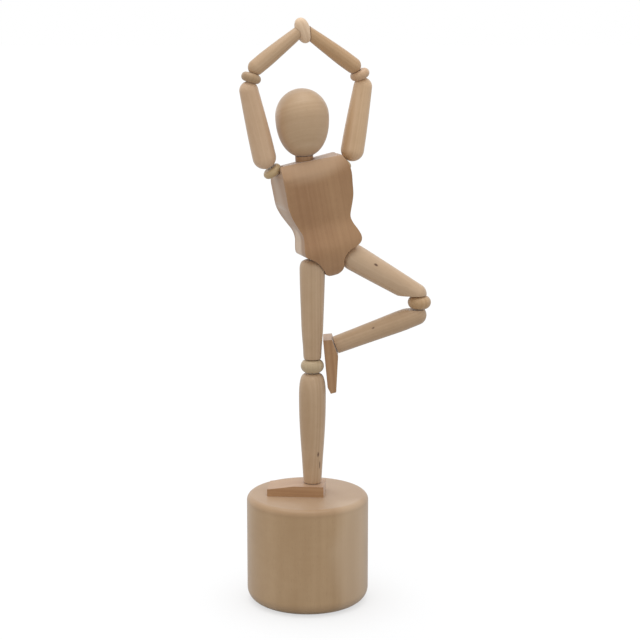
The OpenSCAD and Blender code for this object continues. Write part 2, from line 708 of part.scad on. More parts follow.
// Egg: the skull is a half ellipse, the jaw a fuller curve that ends in a flat chin
module head() {
  jaw = head_h * jaw_share;
  skull = head_h - jaw;
  fullness = 2.2;
  steps = 28;
  color(wood) aim(head_base, head_base + head_dir) difference() {
    rotate_extrude() polygon(concat(
      [[0, 0]],
      [for (i = [0 : steps]) let (t = 1 - i / steps)
        [head_r * pow(1 - pow(chin_depth * t, fullness), 1 / fullness), jaw * (1 - t)]],
      [for (i = [1 : steps]) [head_r * cos(90 * i / steps), jaw + skull * sin(90 * i / steps)]]));
    translate([0, 0, -1]) cylinder(d = bundle_d, h = jaw);
  }
}

module head_cord() {
  cord_run(head_base + strand(2), head_base + (head_h * jaw_share - 1) * head_dir + strand(2));
}

// Arm pieces, for the figure's right or left
module shoulder_bead(s) {
  color(wood_pale) aim(in_plane(shoulder_mid[s]), in_plane(shoulder_mid[s] + polar(shoulder_angle[s], 1)))
    bead(shoulder_r, shoulder_t, bore_d);
}

module through_cord(mid, angle, t) {
  half = polar(angle, t / 2);
  cord_run(in_plane(mid - half), in_plane(mid + half));
}

module upper_arm(s) {
  a = in_plane(low_ball(s));
  b = in_plane(top_ball(s));
  bore_u = unit(elbow_in(s) - shoulder_out(s));
  color(wood) difference() {
    aim(a, b) limb(arm_len[s], arm_low_r, arm_top_r, 1.03);
    rod(shoulder_out(s) - bore_u, elbow_in(s) + bore_u, bore_d);
  }
}

module upper_arm_cord(s) {
  cord_run(shoulder_out(s), elbow_in(s));
}

// Elbow bead, hollowed on both faces to fit the round ends of the arm pieces
module elbow_bead(s) {
  color(wood) difference() {
    aim(in_plane(elbow_mid(s)), in_plane(elbow_mid(s) + polar(elbow_angle[s], 1)))
      bead(elbow_r, elbow_t, bore_d);
    translate(in_plane(top_ball(s))) sphere(r = arm_top_r + touch);
    translate(in_plane(forearm_ball(s))) sphere(r = forearm_r + touch);
  }
}

// The hand bead's form, grown by a gap where the forearms are hollowed to fit it
module hand_form(gap) {
  fullness = 2.3;
  steps = 24;
  r = hand_r + gap;
  half = hand_len / 2 + gap;
  aim(in_plane(hand_mid), in_plane(hand_mid + polar(90 + hand_lean, 1)))
    rotate_extrude() polygon([for (i = [-steps : steps]) let (t = sin(90 * i / steps))
      [r * pow(1 - pow(abs(t), fullness), 1 / fullness), half * t]]);
}

module forearm(s) {
  a = in_plane(forearm_ball(s));
  b = in_plane(grip);
  l = grip_gap(s);
  color(wood) difference() {
    aim(a, b) rotate_extrude() intersection() {
      union() {
        circle(r = forearm_r);
        polygon(concat([[0, 0]],
          smooth([[forearm_r, 0], [forearm_r * 1.01, l * 0.22], [forearm_r * 0.92, l * 0.5],
            [(forearm_r + wrist_r) / 2 * 0.95, l * 0.72], [wrist_r, l - hand_r]]), [[wrist_r, l], [0, l]]));
      }
      translate([0, -reach]) square([reach, 2 * reach]);
    }
    hand_form(touch);
    rod(elbow_out(s) - to_grip(s), b, bore_d);
  }
}

module forearm_cord(s) {
  cord_run(elbow_out(s), in_plane(grip) - (grip_depth[s] + 2 * touch) * to_grip(s));
}

// Hand bead, bored from both sides in line with the forearms; the two holes meet in its middle
module hand_bead() {
  color(wood_pale) difference() {
    hand_form(0);
    for (s = [RIGHT, LEFT])
      rod(in_plane(grip) - 2 * hand_r * to_grip(s), in_plane(grip) + 0.4 * to_grip(s), bore_d);
  }
}

module hand_cords() {
  for (s = [RIGHT, LEFT])
    cord_run(in_plane(grip) - grip_depth[s] * to_grip(s), in_plane(grip) - 0.4 * to_grip(s));
}

// Raised leg
module leg_aim(p, angle) {
  translate(in_leg_plane(p)) rotate([0, 90 - angle, 0]) children();
}

module raised_thigh() {
  l = raised_thigh_len;
  end = in_leg_plane(thigh_end);
  color(wood) difference() {
    leg_aim(raised_hip, -raised_thigh_angle)
      limb(l - raised_knee_r * 0.2, raised_hip_r, raised_knee_r, 1.01);
    translate([end.x - reach, end.y - reach / 2, end.z - reach]) cube([2 * reach, reach, reach]);
    rod(in_leg_plane(raised_hip) - (raised_hip_r + 1) * in_leg_dir(thigh_dir),
      end + in_leg_dir(thigh_dir), bore_d);
  }
}

function in_leg_dir(v) = [v.x, 0, v.y];

module raised_thigh_cord() {
  hip = in_leg_plane(raised_hip);
  cord_run(hip - raised_hip_r * in_leg_dir(thigh_dir),
    in_leg_plane(thigh_end) - 0.3 * in_leg_dir(thigh_dir));
}

module raised_knee_bead() {
  color(wood) translate(in_leg_plane(raised_knee)) bead(knee_r, raised_knee_t, bore_d);
}

module raised_knee_cord() {
  half = [0, raised_knee_t / 2];
  cord_run(in_leg_plane(raised_knee - half), in_leg_plane(raised_knee + half));
}

module raised_shin() {
  l = raised_shin_len;
  r = raised_shin_r;
  top = in_leg_plane(shin_top);
  color(wood) difference() {
    leg_aim(ankle, raised_shin_angle) rotate_extrude() intersection() {
      union() {
        polygon(concat([[0, 0]],
          smooth([[raised_ankle_r - 0.3, 0], [raised_ankle_r, 0.3], [raised_ankle_r * 1.05, l * 0.25],
            [r * 0.95, l * 0.55], [r, l * 0.8], [r * 0.95, l]]), [[0, l]]));
        translate([0, l]) circle(r = r * 0.95);
      }
      square([reach, reach]);
    }
    translate([top.x - reach, top.y - reach / 2, knee_under]) cube([2 * reach, reach, reach]);
    rod(in_leg_plane(ankle - 0.02 * shin_run), in_leg_plane(ankle + 1.02 * shin_run), bore_d);
  }
}

module raised_shin_cord() {
  cord_run(in_leg_plane(ankle), in_leg_plane(ankle + shin_run));
}

// The raised foot's side outline, along the sole from the heel; the seat of the ankle is square to the shin
module raised_foot() {
  kink = heel_to_ankle + raised_ankle_r * 0.95;
  color(wood_dark) difference() {
    translate(in_leg_plane(heel)) rotate([90, 90 - sole_lean, 0])
      linear_extrude(height = foot_w, center = true) polygon([
        [0, 0], [foot_len - 3.2, 0], [foot_len - 0.7, 1], [foot_len - 1.1, toe_h + 0.4],
        [kink, raised_heel_t + kink * tan(seat_tilt) - 0.1], [0, raised_heel_t]]);
    rod(in_leg_plane(ankle_seat - 2.2 * shin_dir), in_leg_plane(ankle), bore_d);
  }
}

module raised_foot_cord() {
  cord_run(in_leg_plane(ankle_seat - 2.4 * shin_dir), in_leg_plane(ankle_seat));
}

module right_shoulder_bead() { shoulder_bead(RIGHT); }
module left_shoulder_bead() { shoulder_bead(LEFT); }
module right_shoulder_cord() { through_cord(shoulder_mid[RIGHT], right_shoulder_angle, shoulder_t); }
module left_shoulder_cord() { through_cord(shoulder_mid[LEFT], left_shoulder_angle, shoulder_t); }
module right_upper_arm() { upper_arm(RIGHT); }
module left_upper_arm() { upper_arm(LEFT); }
module right_upper_arm_cord() { upper_arm_cord(RIGHT); }
module left_upper_arm_cord() { upper_arm_cord(LEFT); }
module right_elbow_bead() { elbow_bead(RIGHT); }
module left_elbow_bead() { elbow_bead(LEFT); }
module right_elbow_cord() { through_cord(elbow_mid(RIGHT), right_elbow_angle, elbow_t - 2 * elbow_cup); }
module left_elbow_cord() { through_cord(elbow_mid(LEFT), left_elbow_angle, elbow_t - 2 * elbow_cup); }
module right_forearm() { forearm(RIGHT); }
module left_forearm() { forearm(LEFT); }
module right_forearm_cord() { forearm_cord(RIGHT); }
module left_forearm_cord() { forearm_cord(LEFT); }

base();
push_button();
button_spring();
cord_knot();
chamber_cords();
standing_foot();
standing_foot_cords();
standing_shin();
standing_shin_cords();
standing_knee_bead();
standing_knee_cords();
standing_thigh();
standing_thigh_cords();
torso();
torso_cords();
neck();
neck_cord();
head();
head_cord();
right_shoulder_bead();
right_shoulder_cord();
right_upper_arm();
right_upper_arm_cord();
right_elbow_bead();
right_elbow_cord();
right_forearm();
right_forearm_cord();
hand_bead();
hand_cords();
left_shoulder_bead();
left_shoulder_cord();
left_upper_arm();
left_upper_arm_cord();
left_elbow_bead();
left_elbow_cord();
left_forearm();
left_forearm_cord();
raised_thigh();
raised_thigh_cord();
raised_knee_bead();
raised_knee_cord();
raised_shin();
raised_shin_cord();
raised_foot();
raised_foot_cord();
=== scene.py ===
import math

import bpy
import numpy as np
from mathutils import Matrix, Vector


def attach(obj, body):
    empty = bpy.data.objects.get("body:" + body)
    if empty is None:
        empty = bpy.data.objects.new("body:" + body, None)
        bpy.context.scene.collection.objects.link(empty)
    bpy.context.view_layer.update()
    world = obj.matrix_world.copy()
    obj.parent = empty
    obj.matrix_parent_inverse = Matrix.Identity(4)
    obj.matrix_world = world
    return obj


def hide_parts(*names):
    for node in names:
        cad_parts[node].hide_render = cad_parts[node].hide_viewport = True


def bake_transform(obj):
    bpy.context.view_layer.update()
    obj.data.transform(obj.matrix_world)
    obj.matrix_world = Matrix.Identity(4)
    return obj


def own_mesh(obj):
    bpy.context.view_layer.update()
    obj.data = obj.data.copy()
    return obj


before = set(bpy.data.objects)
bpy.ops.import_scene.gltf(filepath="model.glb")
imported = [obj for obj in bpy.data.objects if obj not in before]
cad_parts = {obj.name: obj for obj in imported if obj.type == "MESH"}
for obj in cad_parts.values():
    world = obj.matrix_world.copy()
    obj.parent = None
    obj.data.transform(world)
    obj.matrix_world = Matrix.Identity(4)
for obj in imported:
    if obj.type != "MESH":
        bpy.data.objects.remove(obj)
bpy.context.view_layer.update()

# ---------------------------------------------------------------------------------------------------------------------
# Camera: a little higher than the figure's hands and right of the base's middle, looking slightly down.
# ---------------------------------------------------------------------------------------------------------------------

CAMERA_PLACE = (0.00471, -0.700, 0.2585)
CAMERA_DIP = 0.211
FOCAL_LENGTH = 108.34

camera = bpy.data.objects.new("camera", bpy.data.cameras.new("camera"))
bpy.context.scene.collection.objects.link(camera)
bpy.context.scene.camera = camera
camera.location = CAMERA_PLACE
camera.rotation_euler = (math.pi / 2 - CAMERA_DIP, 0, 0)
camera.data.sensor_width = 36
camera.data.lens = FOCAL_LENGTH
camera.data.clip_start = 0.01
bpy.context.scene.view_settings.view_transform = "Standard"

# ---------------------------------------------------------------------------------------------------------------------
# Base: one turned beech cylinder, 46 mm wide, upper edge eased and lower edge well rounded. The grain stands upright,
# so the side shows soft upright bands and the top shows end grain. A chamber for the button is bored from below.
# ---------------------------------------------------------------------------------------------------------------------


class Pattern:
    """One socket of a material. Operators add Math nodes, so that a pattern is written as sums and products."""

    def __init__(self, tree, socket=None):
        self.tree = tree
        self.socket = socket

    def add(self, kind, settings=None, values=None, out=0):
        """Adds one node: first its settings, then the value or link of each socket in values."""
        node = self.tree.nodes.new("ShaderNode" + kind)
        for name, value in (settings or {}).items():
            setattr(node, name, value)
        for name, value in (values or {}).items():
            if isinstance(value, Pattern):
                self.tree.links.new(value.socket, node.inputs[name])
            else:
                node.inputs[name].default_value = value
        return Pattern(self.tree, node.outputs[out] if node.outputs else None)

    def maths(self, operation, *others):
        return self.add("Math", {"operation": operation}, dict(enumerate((self,) + others)))

    def __add__(self, other):
        return self.maths("ADD", other)

    __radd__ = __add__

    def __sub__(self, other):
        return self.maths("SUBTRACT", other)

    def __rsub__(self, other):
        return self.maths("MULTIPLY_ADD", -1.0, other)

    def __mul__(self, other):
        return self.maths("MULTIPLY", other)

    __rmul__ = __mul__

    def step(self, low, high):
        """0 below low, 1 above high, with a smooth climb between them."""
        return self.add("MapRange", {"interpolation_type": "SMOOTHSTEP"},
                        {"Value": self, "From Min": low, "From Max": high})

    def stretch(self, x, y, z):
        return self.add("VectorMath", {"operation": "MULTIPLY"}, {0: self, 1: (x, y, z)})

    def shift(self, x, y, z):
        return self.add("VectorMath", {"operation": "ADD"}, {0: self, 1: (x, y, z)})

    def far(self):
        return self.add("VectorMath", {"operation": "LENGTH"}, {0: self}, out=1)

    def noise(self, size, detail=1.0, out=0):
        """Soft noise whose patches are about size wide."""
        return self.add("TexNoise", {}, {"Vector": self, "Scale": 1 / size, "Detail": detail}, out)

    def rings(self, size, detail=0.0):
        """Noise along one number: bands about size wide."""
        return self.add("TexNoise", {"noise_dimensions": "1D"}, {"W": self * (1 / size), "Detail": detail})

    def between(self, low, high):
        """A colour from low to high, as this goes from 0 to 1."""
        return self.add("Mix", {"data_type": "RGBA"}, {0: self, 6: low, 7: high}, out=2)


def paint(red, green, blue):
    """A colour given as a screen shows it, 0 to 255, turned into the light values that a shader takes."""
    return tuple(((c / 255 + 0.055) / 1.055) ** 2.4 for c in (red, green, blue)) + (1.0,)


# How wide the wood's marks are, in mm, and how deep its sanded surface is, in m.
SLOW_SWAY = 22
FIBRE = 0.32
PATCH = 9
RIPPLE = 2.6
FLECK = 0.36
RELIEF = 0.0001


def beech(name, pale, dark, centre, along=(0, 0, 1), heart=(19, 11), depth=0.0, ring=4.6, sway=3.0, show=1.0,
          knots_and_painted_light=()):
    """Sanded beech, worked out in mm. The tree's heart is a line along the grain, beside the piece by heart. Growth
    rings are noise of the distance to that line, ring wide, which a slow noise sways by a few mm and show makes fainter
    or stronger; fibres are noise drawn out along the grain, patches are broad and faint, ripples lie across the grain,
    and flecks are short dashes. The depth along the grain gives each piece its own stretch of the same tree.
    Each entry of the marks is (place in m, width, length, colour, strength): an ellipsoid with a soft, wavy edge in
    which the colour turns to another. An entry is a knot, which the wood has, or painted light and shade: a paler patch
    stands for light that falls or reflects there, a darker one for shade."""
    material = bpy.data.materials.new(name)
    material.use_nodes = True
    material.node_tree.nodes.clear()
    tree = Pattern(material.node_tree)
    upright = Vector(along).rotation_difference(Vector((0, 0, 1)))
    start = Vector((heart[0], heart[1], 40 * depth)) - 1000 * (upright @ Vector(centre))
    place = tree.add("TexCoord", out=3)
    local = tree.add("Mapping", {}, {"Vector": place, "Location": start, "Rotation": upright.to_euler(),
                                     "Scale": (1000, 1000, 1000)})
    drift = local.stretch(1, 1, 0.22).noise(SLOW_SWAY, 1.0, out=1).shift(-0.5, -0.5, -0.5).stretch(sway, sway, 0)
    bent = tree.add("VectorMath", {"operation": "ADD"}, {0: local, 1: drift})
    from_heart = bent.stretch(1, 1, 0).far()
    broad = from_heart.rings(ring, 1.0)
    fine = from_heart.rings(ring / 6, 1.0)
    fibre = bent.stretch(1, 1, 0.035).noise(FIBRE, 2.0)
    patch = local.stretch(1, 1, 0.3).noise(PATCH, 1.0)
    ripple = local.stretch(0.5, 0.5, 1).noise(RIPPLE, 1.0)
    fleck = bent.stretch(1, 1, 0.22).noise(FLECK, 0.0).step(0.68, 0.8)
    tone = (broad - 0.5) * (1.1 * show) + (fine - 0.5) * (0.12 * show) + (fibre - 0.5) * 0.25 \
        + (patch - 0.5) * 1.1 + (ripple - 0.5) * 0.3 + 0.5
    colour = tone.step(-0.15, 1.15).between(dark, pale)
    colour = (fleck * 0.12).between(colour, tuple(0.55 * c for c in dark[:3]) + (1.0,))
    for spot, width, length, other, strength in knots_and_painted_light:
        middle = Vector((heart[0], heart[1], 40 * depth)) + 1000 * (upright @ (Vector(spot) - Vector(centre)))
        reach = local.shift(*(-middle)).stretch(1 / width, 1 / width, 1 / length).far()
        wander = local.noise(1.8 * width, 1.0)
        mask = 1 - (reach + (wander - 0.5) * 0.8).step(0.35, 1.0)
        colour = (mask * strength).between(colour, other)
    height = fibre * 0.6 + fine * 0.2 - fleck * 0.3
    normal = tree.add("Bump", {}, {"Strength": 0.22, "Distance": RELIEF, "Height": height})
    skin = tree.add("BsdfPrincipled", {}, {
        "Base Color": colour, "Roughness": 0.42 + (fibre - 0.5) * 0.14 + fleck * 0.06, "Normal": normal,
        "Specular IOR Level": 0.5, "Sheen Weight": 0.36, "Sheen Roughness": 0.42})
    tree.add("OutputMaterial", {}, {"Surface": skin})
    return material


SEAM = 1e-6
CREASE = math.radians(36)


def sand(node, material):
    """Gives a solid its wood and joins its facets, so that turned faces shade as one skin and creases stay crisp."""
    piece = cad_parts[node]
    piece.data.shade_smooth()
    piece.modifiers.new("joined", "WELD").merge_threshold = SEAM
    piece.modifiers.new("creases", "EDGE_SPLIT").split_angle = CREASE
    for slot in piece.material_slots:
        slot.material = material


# Painted shade: the top and upper edge of the base are darker, to hold down the light that falls on them from above.
PAINTED_SHADE_TOP = ((0, 0, 0.0425), 60, 4.5, paint(160, 126, 92), 0.6)
# Painted light: a paler, greyer strip down the base's front right side, where the white surroundings reflect.
PAINTED_LIGHT_BASE_SIDE = ((0.0175, -0.0155, 0.02), 12, 50, paint(204, 178, 148), 0.55)
sand("base", beech("base_beech", paint(191, 160, 123), paint(174, 141, 103), (0, 0, 0.02), heart=(44, 34), ring=22,
                   sway=2.5, show=0.6, knots_and_painted_light=[PAINTED_SHADE_TOP, PAINTED_LIGHT_BASE_SIDE]))

# ---------------------------------------------------------------------------------------------------------------------
# Push button: a turned beech disc that slides in the chamber; its stub centres the spring, its hollow takes the knot.
# ---------------------------------------------------------------------------------------------------------------------

PALE = paint(198, 168, 135)
PALE_DARK = paint(180, 148, 113)
sand("push_button", beech("button_beech", PALE, PALE_DARK, (0, 0, 0.009), heart=(8, 21), depth=2))

# ---------------------------------------------------------------------------------------------------------------------
# Button spring: 1.2 mm bright steel wire, 14 mm across, six and a half turns with closed ends, between the button and
# the chamber's ceiling.
# ---------------------------------------------------------------------------------------------------------------------


POLE = 0.4


def tube(name, lines, radii, sides, wave=None):
    """One mesh of round tubes. Each line is an array of points; at every point a ring of sides points stands square to
    the line: point + radius * (cos a * out + sin a * up), where out is world Y made square to the line (or X where the
    line runs along Y). Both ends close in a pole, POLE of the radius further on. The UV map holds the turn, 0 to 1, and
    the length in mm."""
    vertices, faces, corners, first = [], [], [], 0
    for line, radius in zip(lines, radii):
        ahead = np.gradient(line, axis=0)
        ahead /= np.linalg.norm(ahead, axis=1)[:, None]
        hint = np.where(np.abs(ahead[:, 1:2]) < 0.9, [[0.0, 1.0, 0.0]], [[1.0, 0.0, 0.0]])
        out = hint - ahead * (hint * ahead).sum(1)[:, None]
        out /= np.linalg.norm(out, axis=1)[:, None]
        up = np.cross(ahead, out)
        turn = np.arange(sides) * 2 * np.pi / sides
        length = np.concatenate([[0], np.linalg.norm(np.diff(line, axis=0), axis=1).cumsum()]) * 1000
        size = radius if wave is None else radius * wave(turn[None, :], length[:, None])
        ring = (np.cos(turn)[None, :, None] * out[:, None] + np.sin(turn)[None, :, None] * up[:, None])
        skin = line[:, None] + np.broadcast_to(np.asarray(size), ring.shape[:2])[..., None] * ring
        count = len(line)
        i, k = np.meshgrid(np.arange(count - 1), np.arange(sides), indexing="ij")
        after = (k + 1) % sides
        quads = np.stack([i * sides + k, i * sides + after, (i + 1) * sides + after, (i + 1) * sides + k], -1)
        flat = np.stack([np.stack([k, k + 1, k + 1, k], -1) / sides,
                         np.stack([length[i], length[i], length[i + 1], length[i + 1]], -1)], -1)
        k = np.arange(sides)
        after = (k + 1) % sides
        low_pole, high_pole = count * sides, count * sides + 1
        low_cap = np.stack([np.full(sides, low_pole), after, k], -1)
        high_cap = np.stack([np.full(sides, high_pole), k + (count - 1) * sides, after + (count - 1) * sides], -1)
        vertices += [skin.reshape(-1, 3), line[:1] - ahead[:1] * radius * POLE, line[-1:] + ahead[-1:] * radius * POLE]
        faces += (quads.reshape(-1, 4) + first).tolist() + (low_cap + first).tolist() + (high_cap + first).tolist()
        corners += [flat.reshape(-1, 2), np.zeros((6 * sides, 2))]
        first += count * sides + 2
    mesh = bpy.data.meshes.new(name)
    mesh.from_pydata(np.concatenate(vertices), [], faces)
    mesh.uv_layers.new(name="run").data.foreach_set("uv", np.concatenate(corners).ravel().astype(np.float32))
    mesh.shade_smooth()
    piece = bpy.data.objects.new(name, mesh)
    bpy.context.scene.collection.objects.link(piece)
    return piece


WIRE = 0.0012
COIL = 0.014
TURNS = 6.5
CLOSED_RISE = WIRE + 0.0006
WIRE_LOW, WIRE_HIGH = 0.0127, 0.0298
turns = np.linspace(0, TURNS, 300)
open_rise = (WIRE_HIGH - WIRE_LOW - 2 * CLOSED_RISE) / (TURNS - 2)
rise = WIRE_LOW + CLOSED_RISE * (np.minimum(turns, 1) + np.maximum(turns - TURNS + 1, 0)) \
    + open_rise * np.maximum(np.minimum(turns, TURNS - 1) - 1, 0)
coil = np.stack([COIL / 2 * np.cos(2 * np.pi * turns), COIL / 2 * np.sin(2 * np.pi * turns), rise], -1)
spring = tube("spring_coil", [coil], [WIRE / 2], 16)
steel = bpy.data.materials.new("bright_steel")
steel.use_nodes = True
steel.node_tree.nodes.clear()
tree = Pattern(steel.node_tree)
drawn = tree.add("TexCoord", out=2).stretch(9, 0.25, 1).noise(1.0, 2.0)
skin = tree.add("BsdfPrincipled", {}, {
    "Base Color": drawn.between(paint(168, 170, 174), paint(208, 209, 211)), "Roughness": 0.26 + drawn * 0.14,
    "Metallic": 1.0, "Normal": tree.add("Bump", {}, {"Strength": 0.15, "Distance": 0.00005, "Height": drawn})})
tree.add("OutputMaterial", {}, {"Surface": skin})
spring.data.materials.append(steel)
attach(spring, "stand")
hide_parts("button_spring")
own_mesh(spring)

# ---------------------------------------------------------------------------------------------------------------------
# Standing leg: a flat wedge for the foot, glued on the base; a shin and a thigh turned to soft calf and thigh lines;
# a rounded bead between them for the knee. All are bored through for the four cords.
# ---------------------------------------------------------------------------------------------------------------------

BROWN = paint(181, 141, 101)
BROWN_DARK = paint(161, 119, 81)
KNOT = paint(92, 60, 38)
YELLOW = paint(196, 174, 140)
YELLOW_DARK = paint(180, 156, 120)
sand("standing_foot", beech("standing_foot_beech", paint(186, 147, 108), paint(167, 126, 88),
                            (-0.006, 0.0003, 0.0435), along=(1, 0.08, 0), heart=(14, 10), depth=3))
SHIN_KNOTS = [((0.0040, -0.0026, 0.0575), 0.6, 1.3, KNOT, 0.9), ((0.0046, -0.0019, 0.0530), 0.45, 2.2, KNOT, 0.8)]
sand("standing_shin", beech("standing_shin_beech", PALE, PALE_DARK, (0.00185, 0.0008, 0.067), heart=(13, 22), depth=4,
                            knots_and_painted_light=SHIN_KNOTS))
sand("standing_knee_bead", beech("knee_bead_beech", YELLOW, YELLOW_DARK, (0.00185, 0.0008, 0.091), heart=(9, 7),
                                 depth=5))
sand("standing_thigh", beech("standing_thigh_beech", PALE, PALE_DARK, (0.00185, 0.0008, 0.1125), heart=(20, 9),
                             depth=6))

# ---------------------------------------------------------------------------------------------------------------------
# Torso: one block, sawn to the front and the side outline and sanded, with an arch over each thigh, a seat for the
# neck and one for each shoulder bead. Browner wood than the limbs; the grain runs up the figure.
# ---------------------------------------------------------------------------------------------------------------------

# Painted light: the torso's left flank is paler and greyer, as where the white surroundings reflect off it at a grazing
# angle.
PAINTED_LIGHT_FLANK = ((-0.0125, -0.0015, 0.150), 6.5, 40, paint(198, 170, 142), 0.7)
# Painted light: a paler band across the top of the chest, where its face tilts up to the light.
PAINTED_LIGHT_CHEST_TOP = ((0.0034, -0.0061, 0.1675), 19, 8, paint(202, 168, 134), 0.6)
# Painted light: a pale patch on the left hip, below the flank's painted reflection.
PAINTED_LIGHT_HIP = ((-0.0034, 0.0005, 0.137), 5, 11, paint(226, 199, 172), 0.85)
sand("torso", beech("torso_beech", BROWN, BROWN_DARK, (0.0, 0.0, 0.148), along=(-0.19, -0.07, 0.98),
                    heart=(48, 14), depth=7, ring=7, sway=2.5, show=0.6, knots_and_painted_light=[PAINTED_LIGHT_FLANK, PAINTED_LIGHT_CHEST_TOP, PAINTED_LIGHT_HIP]))

# ---------------------------------------------------------------------------------------------------------------------
# Neck and head: a short peg, and a turned egg without a face, its fuller end up.
# ---------------------------------------------------------------------------------------------------------------------

# The neck takes the torso's browner wood: partly its own tone, partly painted shade under the head.
sand("neck", beech("neck_beech", BROWN, BROWN_DARK, (-0.001, 0, 0.169), heart=(9, 9), depth=8))
# Painted light: the head's left side is paler, where the white surroundings reflect off it.
PAINTED_LIGHT_CHEEK = ((-0.0118, -0.0025, 0.185), 6, 15, paint(226, 202, 176), 0.6)
sand("head", beech("head_beech", paint(203, 173, 139), paint(186, 153, 117), (-0.0017, -0.0005, 0.182),
                   along=(0.97, 0.2, 0.12), heart=(-26, 12), depth=9, ring=6, show=0.5, knots_and_painted_light=[PAINTED_LIGHT_CHEEK]))

# ---------------------------------------------------------------------------------------------------------------------
# Arms: shoulder bead, turned upper arm, elbow bead and forearm on each side, and one oval bead for the joined hands.
# ---------------------------------------------------------------------------------------------------------------------

# Each piece has its own pale and dark colour. The upper arms, and most of all the hand bead, are paler than the wood
# lower down: partly their own tone, partly painted light for the brighter light at the top of the figure.
ARMS = (
    ("right_shoulder_bead", (202, 177, 136), (187, 159, 116), (-0.0126, -0.0045, 0.1648), (-0.579, -0.211, 0.788)),
    ("right_upper_arm", (215, 182, 148), (199, 163, 127), (-0.018, -0.0064, 0.182), (-0.2146, -0.0781, 0.9736)),
    ("right_elbow_bead", (186, 156, 120), (168, 136, 100), (-0.02, -0.0071, 0.1988), (0.298, 0.109, 0.948)),
    ("right_forearm", (200, 169, 134), (183, 149, 112), (-0.0096, -0.0034, 0.209), (0.751, 0.273, 0.601)),
    ("left_shoulder_bead", (202, 177, 136), (187, 159, 116), (0.0130, 0.0049, 0.1668), (0.604, 0.220, 0.766)),
    ("left_upper_arm", (222, 188, 150), (206, 170, 130), (0.0184, 0.0068, 0.182), (0.160, 0.058, 0.985)),
    ("left_elbow_bead", (207, 172, 136), (190, 153, 116), (0.0193, 0.0071, 0.1988), (-0.352, -0.128, 0.927)),
    ("left_forearm", (203, 167, 126), (186, 147, 105), (0.0077, 0.0029, 0.209), (-0.766, -0.279, 0.579)),
    ("hand_bead", (234, 204, 171), (219, 187, 153), (-0.0014, -0.0004, 0.2152), (-0.321, -0.117, 0.940)))
for count, (node, pale, dark, middle, along) in enumerate(ARMS):
    sand(node, beech(node + "_beech", paint(*pale), paint(*dark), middle, along=along,
                     heart=(11 + 3 * (count % 4), 16 - count), depth=10 + count))

# ---------------------------------------------------------------------------------------------------------------------
# Raised leg: thigh, knee bead, shin and foot, turned and sawn like the standing leg, with one cord.
# ---------------------------------------------------------------------------------------------------------------------

THIGH_KNOT = ((0.0255, 0.0010, 0.1292), 0.6, 1.1, KNOT, 0.95)
CALF_KNOT = ((0.0245, 0.0018, 0.1052), 0.5, 0.9, KNOT, 0.85)
sand("raised_thigh", beech("raised_thigh_beech", paint(206, 177, 145), paint(189, 158, 125),
                           (0.0294, 0.0052, 0.124), along=(0.86, 0, -0.51), heart=(12, 18), depth=19,
                           knots_and_painted_light=[THIGH_KNOT]))
sand("raised_knee_bead", beech("raised_knee_beech", paint(196, 162, 122), paint(180, 144, 102),
                               (0.0418, 0.0052, 0.1143), heart=(8, 12), depth=20))
sand("raised_shin", beech("raised_shin_beech", PALE, PALE_DARK, (0.026, 0.0052, 0.1045), along=(0.935, 0, 0.355),
                          heart=(15, 9), depth=21, knots_and_painted_light=[CALF_KNOT]))
sand("raised_foot", beech("raised_foot_beech", BROWN, BROWN_DARK, (0.009, 0.0052, 0.091), along=(0.094, 0, -0.996),
                          heart=(11, 13), depth=22))

# ---------------------------------------------------------------------------------------------------------------------
# Cords: four braided cotton cords, 0.8 mm thick, knotted together under the button. They run side by side up the
# standing leg; one then goes to the raised leg, one to each arm and one to the head. Each is drawn from the middle of
# one piece to the middle of the next, and bends where the two pieces part.
# ---------------------------------------------------------------------------------------------------------------------

CORD = 0.0008
STRANDS = 0.00045 * np.array([[1, 1, 0], [-1, 1, 0], [-1, -1, 0], [1, -1, 0]])
# Yarns in each of the braid's two layers, and how far they turn round the cord in a mm, in radians.
YARNS = 8
LAY = 7.0
CORD_SIDES = 12
cotton = bpy.data.materials.new("braided_cotton")
cotton.use_nodes = True
cotton.node_tree.nodes.clear()
tree = Pattern(cotton.node_tree)
around_cord = tree.add("SeparateXYZ", {}, {0: tree.add("TexCoord", out=2)})
along_cord = Pattern(cotton.node_tree, around_cord.socket.node.outputs[1])
right_lay = (around_cord * (2 * math.pi * YARNS) + along_cord * LAY).maths("SINE")
left_lay = (around_cord * (2 * math.pi * YARNS) - along_cord * LAY).maths("SINE")
braid = right_lay.maths("MAXIMUM", left_lay) * 0.5 + 0.5
wear = tree.add("TexCoord", out=3).noise(0.004, 2.0)
# Painted shade: the colour follows the braid, darker in the grooves between the yarns; the wear noise adds tone that
# differs at random.
shade = (braid * 0.7 + wear * 0.5).step(0.0, 1.1)
skin = tree.add("BsdfPrincipled", {}, {
    "Base Color": shade.between(paint(196, 188, 170), paint(240, 235, 222)), "Roughness": 0.82 + wear * 0.1,
    "Normal": tree.add("Bump", {}, {"Strength": 0.6, "Distance": 0.0001, "Height": braid})})
tree.add("OutputMaterial", {}, {"Surface": skin})


def braided(turn, length):
    """The cord's radius, as a share: eight yarns wind each way in pairs, and the pair that lies outside shows."""
    pairs = YARNS // 2
    return 0.93 + 0.07 * np.maximum(np.sin(pairs * turn + LAY * length), np.sin(pairs * turn - LAY * length))


STEP = 0.0004


